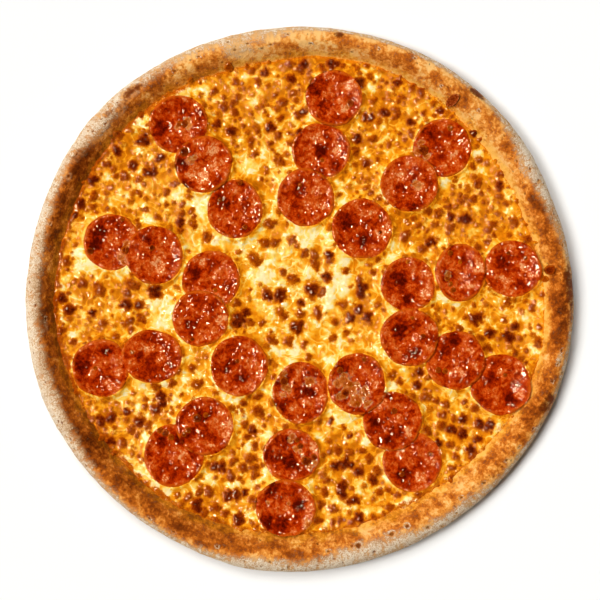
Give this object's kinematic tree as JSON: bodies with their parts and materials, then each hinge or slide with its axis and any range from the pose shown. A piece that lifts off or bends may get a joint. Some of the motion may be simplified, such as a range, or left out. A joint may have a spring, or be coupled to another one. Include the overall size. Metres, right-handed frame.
{
  "type": "pepperoni pizza",
  "caption": "Whole round baked pizza, uncut, with a risen browned rim, melted blistered cheese and round pepperoni slices; food that lies flat on a plate, board or table.",
  "frame": {"origin": "middle of the pizza's box in plan, on the surface it lies on", "axes": "+Z up, out of the topped side; +X right and +Y up in the picture, which looks straight down"},
  "size_m": [0.3508, 0.3492, 0.0204],
  "materials": {
    "baked_crust": "baked dough, toasted brown with pale flour dust",
    "melted_cheese": "melted cheese, golden to cream with glossy brown blisters",
    "pepperoni": "oily mottled red pepperoni",
    "browned_scrap": "browned dry pepperoni scrap"
  },
  "bodies": {
    "root": {"crust": "baked_crust", "cheese": "melted_cheese", "pepperoni_01": "pepperoni", "pepperoni_02": "pepperoni", "pepperoni_03": "pepperoni", "pepperoni_04": "pepperoni", "pepperoni_05": "pepperoni", "pepperoni_06": "pepperoni", "pepperoni_07": "pepperoni", "pepperoni_08": "pepperoni", "pepperoni_09": "pepperoni", "pepperoni_10": "pepperoni", "pepperoni_11": "pepperoni", "pepperoni_12": "pepperoni", "pepperoni_13": "pepperoni", "pepperoni_14": "pepperoni", "pepperoni_15": "pepperoni", "pepperoni_16": "pepperoni", "pepperoni_17": "pepperoni", "pepperoni_18": "pepperoni", "pepperoni_19": "pepperoni", "pepperoni_20": "pepperoni", "pepperoni_21": "pepperoni", "pepperoni_22": "pepperoni", "pepperoni_23": "pepperoni", "pepperoni_24": "pepperoni", "pepperoni_25": "pepperoni", "pepperoni_26": "pepperoni", "pepperoni_27": "pepperoni", "pepperoni_28": "pepperoni", "pepperoni_29": "pepperoni", "pepperoni_30": "pepperoni", "rim_scrap": "browned_scrap"}
  },
  "joints": []
}
